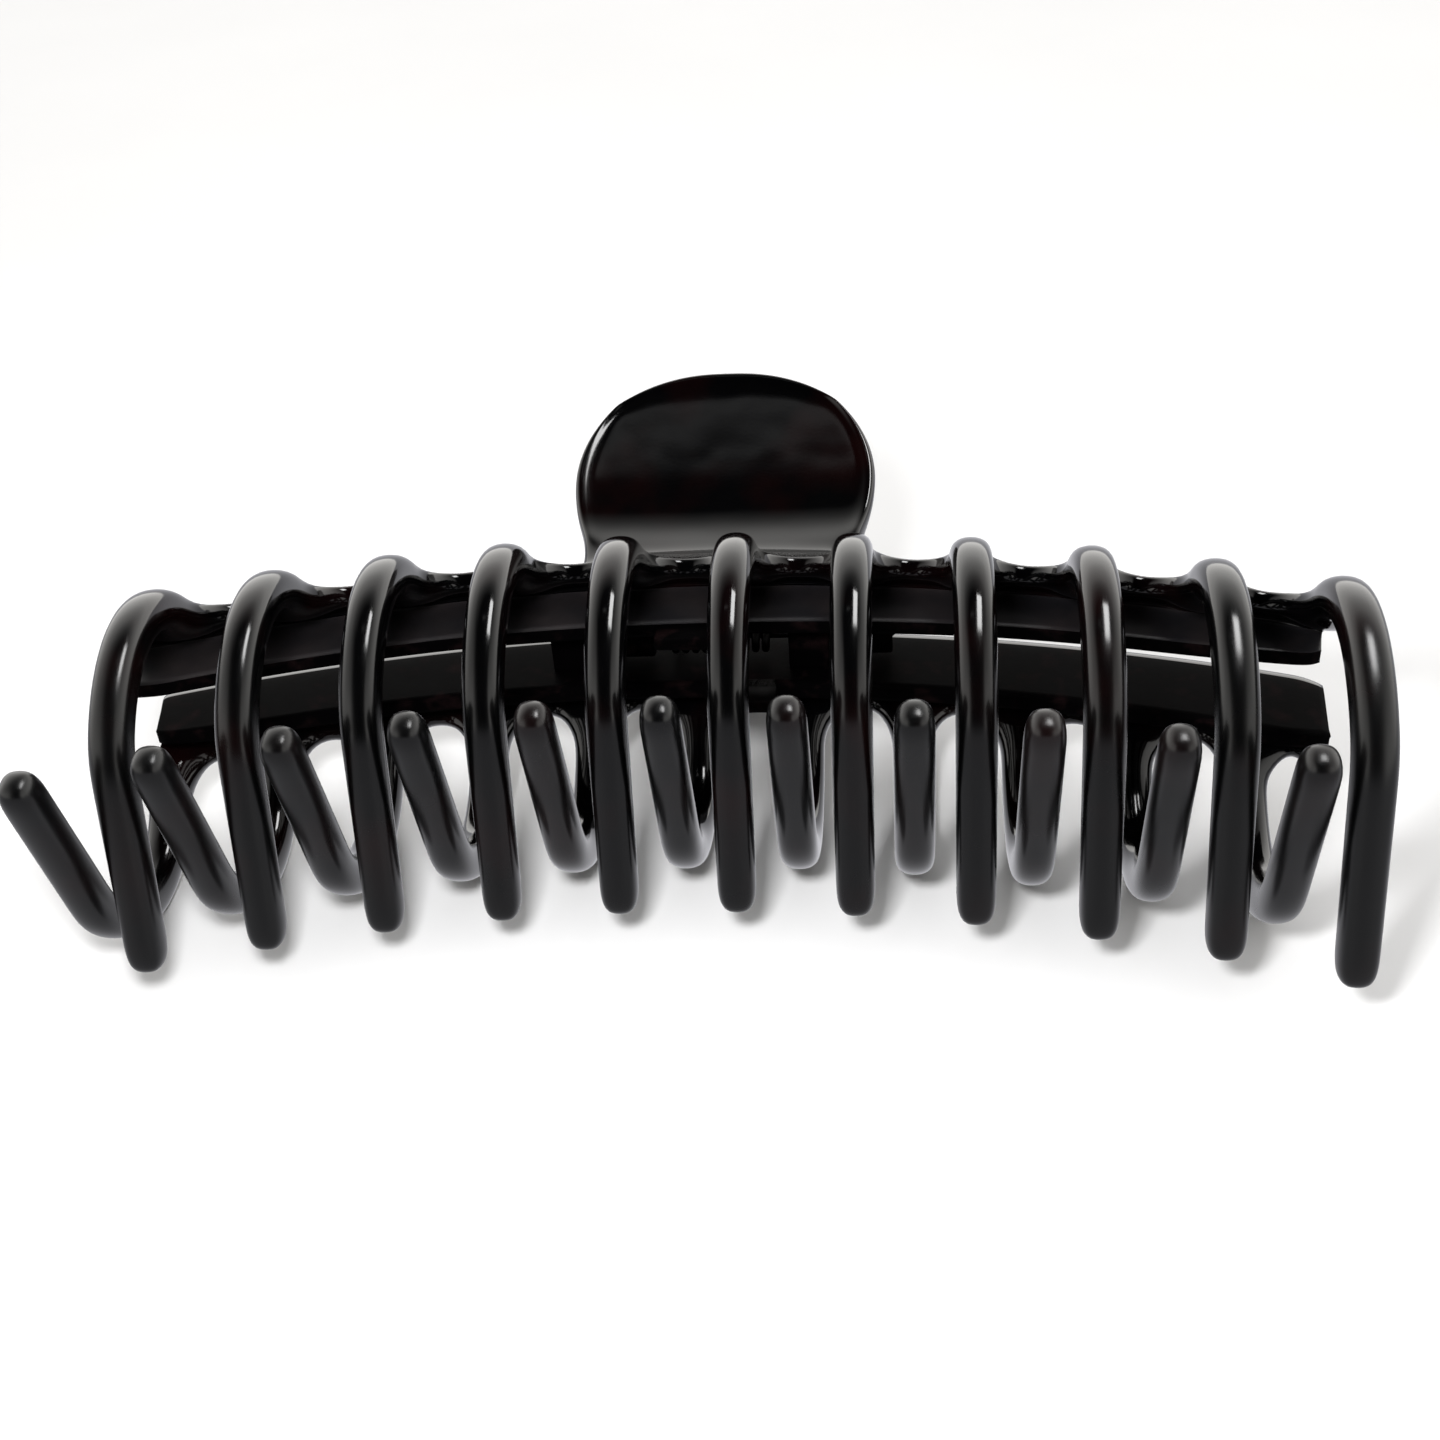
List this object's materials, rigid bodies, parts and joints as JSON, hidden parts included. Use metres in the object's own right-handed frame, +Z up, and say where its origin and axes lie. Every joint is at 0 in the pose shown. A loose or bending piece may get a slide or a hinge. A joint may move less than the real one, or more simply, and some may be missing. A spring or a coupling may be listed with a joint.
{
  "type": "claw hair clip",
  "caption": "Large sprung claw hair clip: two arched jaws with interlacing curved teeth, thumb pads and a spring hinge.",
  "frame": {"origin": "centre of the closed clip's footprint on the table it lies on", "axes": "+X along the hinge pin, +Y from the teeth towards the thumb pads, +Z up, through the two jaws"},
  "size_m": [0.1288, 0.0694, 0.0363],
  "materials": {
    "black_plastic": "gloss",
    "pin_steel": "drawn wire",
    "spring_steel": "drawn wire"
  },
  "bodies": {
    "lower_jaw": {"lower_spine": "black_plastic", "lower_thumb_pad": "black_plastic", "lower_tooth_01": "black_plastic", "lower_tooth_02": "black_plastic", "lower_tooth_03": "black_plastic", "lower_tooth_04": "black_plastic", "lower_tooth_05": "black_plastic", "lower_tooth_06": "black_plastic", "lower_tooth_07": "black_plastic", "lower_tooth_08": "black_plastic", "lower_tooth_09": "black_plastic", "lower_tooth_10": "black_plastic", "lower_tooth_11": "black_plastic", "hinge_pin": "pin_steel", "torsion_spring": "spring_steel"},
    "upper_jaw": {"upper_spine": "black_plastic", "upper_thumb_pad": "black_plastic", "upper_tooth_01": "black_plastic", "upper_tooth_02": "black_plastic", "upper_tooth_03": "black_plastic", "upper_tooth_04": "black_plastic", "upper_tooth_05": "black_plastic", "upper_tooth_06": "black_plastic", "upper_tooth_07": "black_plastic", "upper_tooth_08": "black_plastic", "upper_tooth_09": "black_plastic", "upper_tooth_10": "black_plastic", "upper_tooth_11": "black_plastic"}
  },
  "joints": [
    {"name": "jaw_hinge", "type": "hinge", "parent": "lower_jaw", "child": "upper_jaw", "pos_m": [0, 0.0085, 0.01815], "axis": [-1, 0, 0], "range_deg": [0, 55], "stiffness_Nm_per_rad": 0.12, "springref_deg": -51.57, "deforming": ["torsion_spring"]}
  ]
}
